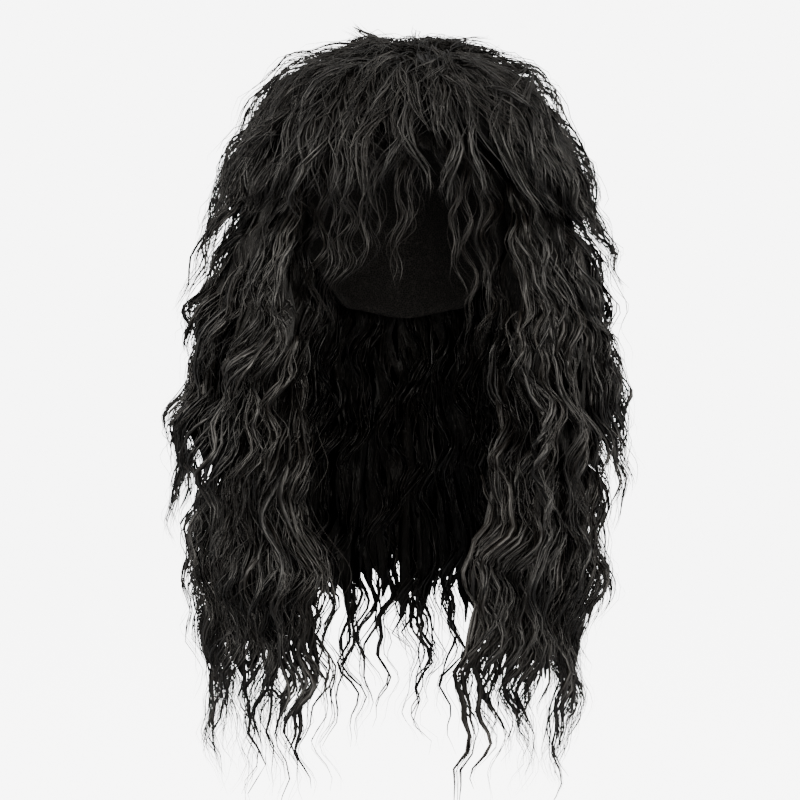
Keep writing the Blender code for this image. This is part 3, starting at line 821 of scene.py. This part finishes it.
def middle_inner(turn, run):
    return clear_of_fringe(turn, run, stacked(turn, run, LONG_FORM, long_inner))


MIDDLE = Layer(MIDDLE_FORM, middle_inner)
rng = np.random.default_rng(23)
for part in MIDDLE_PARTS:
    node = part.name + "_layer"
    batches = []
    for tier in MIDDLE_TIERS:
        if part.name == "back_middle":
            tier = tier._replace(locks=round(tier.locks * BACK_MIDDLE_SHARE))
        locks = draw_locks(tier, part.start, part.end, rng, MIDDLE_SLOPE, MIDDLE_PARTED)
        batches += [comb(MIDDLE, locks, kind, tier.segments, rng) for kind in KINDS]
    weft(part.name + "_wisps", batches, [node])
    start, end = part.start * WALL_SHARE, part.end * WALL_SHARE
    under_hair(part.name + "_depth", MIDDLE, start, end, MIDDLE_WALL, [node])

# Crown layer
# The top is teased: short wefts grow all over the cap from a whorl at the crown, stand away from it and
# fall outwards in choppy tips, a few of which stick up. In front they are cut shorter.
CROWN_FORM = (
    Form(0.00, 0.00, 0.00, 0.00, 0.44, 0.44, 0.44, 1.00),
    Form(0.05, 0.00, 0.00, 0.00, 0.53, 0.51, 0.47, 1.00),
    Form(0.10, 0.00, 0.00, 0.00, 0.58, 0.52, 0.42, 1.00),
    Form(0.17, 0.00, 0.00, 0.00, 0.45, 0.40, 0.27, 1.00),
    Form(0.24, 0.00, 0.00, 0.00, 0.22, 0.24, 0.16, 1.00),
    Form(0.31, 0.00, 0.00, 0.00, 0.15, 0.16, 0.10, 1.00),
    Form(0.40, 0.00, 0.00, 0.00, 0.08, 0.10, 0.08, 1.00),
)

# Each tier of the crown, with how much its locks stray sideways.
CrownTier = namedtuple("CrownTier", "slope tier")
CROWN_TIERS = (
    CrownTier(0.030, Tier(50, 0.06, 0.15, 0.18, 0.31, 0.45, 1.00, 0.001, 13)),
    CrownTier(0.034, Tier(50, 0.01, 0.09, 0.13, 0.24, 0.55, 1.00, 0.001, 12)),
    CrownTier(0.024, Tier(56, 0.12, 0.20, 0.20, 0.32, 0.60, 1.05, 0.003, 9)),
    CrownTier(0.020, Tier(50, 0.16, 0.24, 0.27, 0.39, 0.70, 1.02, 0.002, 12)),
    CrownTier(0.030, Tier(40, 0.00, 0.05, 0.05, 0.13, 0.85, 1.00, 0.001, 7)),
    CrownTier(0.020, Tier(8, 0.00, 0.03, 0.05, 0.09, 0.85, 1.00, 0.008, 8)),
)

# Locks that cross over the whorl, locks that lie low in front, a little over the middle, and locks that
# cover the middle of the back, where the crown's two halves meet.
WHORL_TIER = Tier(16, 0.04, 0.09, 0.18, 0.26, 0.75, 0.95, 0.001, 14)
WHORL_SLOPE, WHORL_STRAY = 0.010, 0.5
FRONT_TIERS = (
    Tier(11, 0.01, 0.08, 0.13, 0.20, 0.55, 0.95, 0.001, 11),
    Tier(11, 0.06, 0.12, 0.17, 0.25, 0.50, 0.90, 0.001, 11),
)
FRONT_SHARE, FRONT_OVERLAP = 0.26, 0.04
FRONT_SLOPE, FRONT_TONE = 0.028, 0.5
SEAM_TIER = Tier(5, 0.06, 0.14, 0.20, 0.30, 0.60, 0.95, 0.001, 12)
SEAM_SHARE, SEAM_SLOPE = 0.12, 0.014
CROWN_KINDS = (
    Kind(4, 0.0025, 0.38, 0.90, 0.0),
    Kind(7, 0.0009, 0.90, 1.20, 0.4),
    Kind(1, 0.0005, 0.90, 1.60, 1.0),
)
CROWN_FRONT_CUT = 0.62
CROWN_TONE, CROWN_SWAY = 0.7, 1.3
CROWN_PARTED = 0.030
CROWN_WALL = Wall(96, 20, 0.00, 0.27, 0.61)


def crown_inner(turn, run):
    return clear_of_fringe(turn, run, stacked(turn, run, MIDDLE_FORM, middle_inner))


CROWN = Layer(CROWN_FORM, crown_inner)
rng = np.random.default_rng(37)
halves = {"crown_left_wisps": (-1.0, 0.0), "crown_right_wisps": (0.0, 1.0)}
for name, (start, end) in halves.items():
    batches = []
    for slope, tier in CROWN_TIERS:
        locks = draw_locks(tier._replace(locks=tier.locks // 2), start, end, rng, slope, CROWN_PARTED)
        cut = round_head(1, 1, CROWN_FRONT_CUT, locks.share * math.pi)
        locks = locks._replace(root=locks.root * cut, tip=locks.tip * cut)
        locks = locks._replace(tone=CROWN_TONE * locks.tone, sway=CROWN_SWAY * locks.sway)
        batches += [comb(CROWN, locks, kind, tier.segments, rng) for kind in CROWN_KINDS]
    locks = draw_locks(WHORL_TIER, start, end, rng, WHORL_SLOPE)
    heading = math.pi * (locks.share + 1) + rng.normal(0, WHORL_STRAY, WHORL_TIER.locks)
    batches += [
        comb(CROWN, locks, kind, WHORL_TIER.segments, rng, heading=heading) for kind in CROWN_KINDS]
    side = start + end
    for tier in FRONT_TIERS:
        locks = draw_locks(tier, side * (1 + FRONT_OVERLAP), side * (1 - FRONT_SHARE), rng, FRONT_SLOPE)
        locks = locks._replace(tone=FRONT_TONE * locks.tone, sway=CROWN_SWAY * locks.sway)
        batches += [comb(CROWN, locks, kind, tier.segments, rng) for kind in CROWN_KINDS]
    locks = draw_locks(SEAM_TIER, 0, side * SEAM_SHARE, rng, SEAM_SLOPE)
    batches += [comb(CROWN, locks, kind, SEAM_TIER.segments, rng) for kind in CROWN_KINDS]
    weft(name, batches, ["crown_layer"])
under_hair("crown_depth", CROWN, -1.0, 1.0, CROWN_WALL, ["crown_layer"], closed=True, cut=CROWN_FRONT_CUT)

# Fringe
# The front edge of the cap carries a thin fringe: dense where it leaves the crown layer, then single
# wavy locks with gaps between them, a little longer towards both ends of the row.
FRINGE_KINDS = (
    Kind(2, 0.0018, 0.60, 0.50, 0.0),
    Kind(7, 0.0008, 0.90, 1.00, 0.25),
    Kind(2, 0.0004, 0.90, 1.50, 1.0),
)

# The locks from one end of the row to the other: the turn from the middle of the front, in radians, where
# the tip lies down HAIR_RUN, and the radius, in metres, of which a gathered lock keeps FRINGE_GATHERED.
FringeLock = namedtuple("FringeLock", "turn tip radius")
FRINGE_LOCKS = (
    FringeLock(-0.87, 0.430, 0.0045),
    FringeLock(-0.73, 0.415, 0.0060),
    FringeLock(-0.58, 0.395, 0.0070),
    FringeLock(-0.44, 0.370, 0.0070),
    FringeLock(-0.31, 0.335, 0.0060),
    FringeLock(-0.19, 0.290, 0.0060),
    FringeLock(-0.04, 0.360, 0.0085),
    FringeLock(0.09, 0.285, 0.0070),
    FringeLock(0.25, 0.265, 0.0070),
    FringeLock(0.38, 0.365, 0.0070),
    FringeLock(0.51, 0.400, 0.0080),
    FringeLock(0.63, 0.425, 0.0070),
    FringeLock(0.76, 0.450, 0.0050),
    FringeLock(0.87, 0.440, 0.0045),
)
FRINGE_TIER = Tier(len(FRINGE_LOCKS), 0.125, 0.125, 1.00, 1.00, 0.40, 0.80, 0.001, 30)
FRINGE_GATHERED, FRINGE_CLOSE = 0.55, 0.2
FRINGE = Layer(FRINGE_FORM, fringe_inner)
rng = np.random.default_rng(41)
locks = draw_locks(FRINGE_TIER, 0, 1, rng)
locks = locks._replace(
    share=1 - np.array([lock.turn for lock in FRINGE_LOCKS]) / math.pi,
    tip=HAIR_RUN * np.array([lock.tip for lock in FRINGE_LOCKS]),
    radius=FRINGE_GATHERED * np.array([lock.radius for lock in FRINGE_LOCKS]),
)
batches = [
    comb(FRINGE, locks, kind, FRINGE_TIER.segments, rng, closing=FRINGE_CLOSE) for kind in FRINGE_KINDS]
weft("fringe_wisps", batches, ["fringe"])

# Studio
# A pale paper floor that curves up into a wall all round, wide soft lights from the front, the sides and
# above, and a long lens about level with the wig's middle. It frames 0.60 m of height.
FRAME_HEIGHT = 0.600
LENS_DISTANCE, LENS_RISE, SEEN_TO = 2.30, 0.01, 50
SENSOR = 36.0
LOOK_AT = (-0.00375, 0.0, -0.228)
FLOOR_DROP = 0.045
FLOOR_Z = cad_bounds[0][2] - FLOOR_DROP
FLOOR_RADIUS, BEND_RADIUS, WALL_TOP = 4.5, 1.5, 4.0
BEND_STEPS, ROUND_STEPS = 12, 72
PAPER_COLOUR, PAPER_ROUGHNESS, PAPER_GLOW = (0.80, 0.80, 0.79, 1), 0.9, 7.0
WHITE = (1, 1, 1, 1)
AIR_LIGHT = 0.35

bowl = bmesh.new()
profile = [bowl.verts.new((0, 0, FLOOR_Z))]
for step in range(BEND_STEPS + 1):
    angle = math.pi / 2 * step / BEND_STEPS
    across = FLOOR_RADIUS + BEND_RADIUS * math.sin(angle)
    profile.append(bowl.verts.new((across, 0, FLOOR_Z + BEND_RADIUS * (1 - math.cos(angle)))))
profile.append(bowl.verts.new((FLOOR_RADIUS + BEND_RADIUS, 0, WALL_TOP)))
edges = [bowl.edges.new(pair) for pair in zip(profile, profile[1:])]
bmesh.ops.spin(
    bowl, geom=profile + edges, cent=(0, 0, 0), axis=(0, 0, 1), angle=2 * math.pi,
    steps=ROUND_STEPS, use_merge=True)
bmesh.ops.remove_doubles(bowl, verts=bowl.verts, dist=1e-5)
bmesh.ops.recalc_face_normals(bowl, faces=bowl.faces)
data = bpy.data.meshes.new("pale_bowl")
bowl.to_mesh(data)
bowl.free()
data.shade_smooth()
paper = bpy.data.materials.new("pale_paper")
paper.use_nodes = True
look = paper.node_tree.nodes["Principled BSDF"].inputs
look["Base Color"].default_value = PAPER_COLOUR
look["Roughness"].default_value = PAPER_ROUGHNESS
look["Emission Color"].default_value = WHITE
look["Emission Strength"].default_value = PAPER_GLOW
data.materials.append(paper)
backdrop = bpy.data.objects.new("pale_bowl", data)
backdrop.visible_diffuse = False
backdrop.visible_glossy = False
backdrop.visible_shadow = False
bpy.context.scene.collection.objects.link(backdrop)

# Lamps: where they stand and how wide they are, in metres, and their power in watts.
LAMP_COLOUR = (1.0, 0.95, 0.87)
Lamp = namedtuple("Lamp", "name place size power")
LAMPS = (
    Lamp("key", (-1.6, -1.6, 1.0), 1.2, 38),
    Lamp("fill", (1.8, -1.5, 0.8), 1.4, 32),
    Lamp("front", (0.3, -2.4, 0.1), 0.9, 13),
    Lamp("top", (0.0, -0.2, 1.7), 1.4, 10),
    Lamp("left_side", (-2.1, -0.1, 0.5), 1.2, 20),
    Lamp("right_side", (2.1, -0.1, 0.5), 1.2, 22),
)


def aim(thing, target):
    """Turns a camera or lamp to face a point."""
    away = np.array(thing.location) - np.array(target)
    flat = math.hypot(away[0], away[1])
    thing.rotation_euler = (math.atan2(flat, away[2]), 0, math.atan2(away[0], -away[1]))


for lamp in LAMPS:
    light = bpy.data.lights.new(lamp.name, "AREA")
    light.size = lamp.size
    light.energy = lamp.power
    light.color = LAMP_COLOUR
    holder = bpy.data.objects.new(lamp.name, light)
    holder.location = lamp.place
    aim(holder, LOOK_AT)
    bpy.context.scene.collection.objects.link(holder)

world = bpy.data.worlds.new("studio")
world.use_nodes = True
world.node_tree.nodes["Background"].inputs["Color"].default_value = WHITE
world.node_tree.nodes["Background"].inputs["Strength"].default_value = AIR_LIGHT
bpy.context.scene.world = world

lens = bpy.data.cameras.new("camera")
lens.sensor_width = SENSOR
lens.lens = SENSOR * LENS_DISTANCE / FRAME_HEIGHT
lens.clip_end = SEEN_TO
camera = bpy.data.objects.new("camera", lens)
camera.location = (LOOK_AT[0], LOOK_AT[1] - LENS_DISTANCE, LOOK_AT[2] + LENS_RISE)
aim(camera, LOOK_AT)
bpy.context.scene.collection.objects.link(camera)
bpy.context.scene.camera = camera
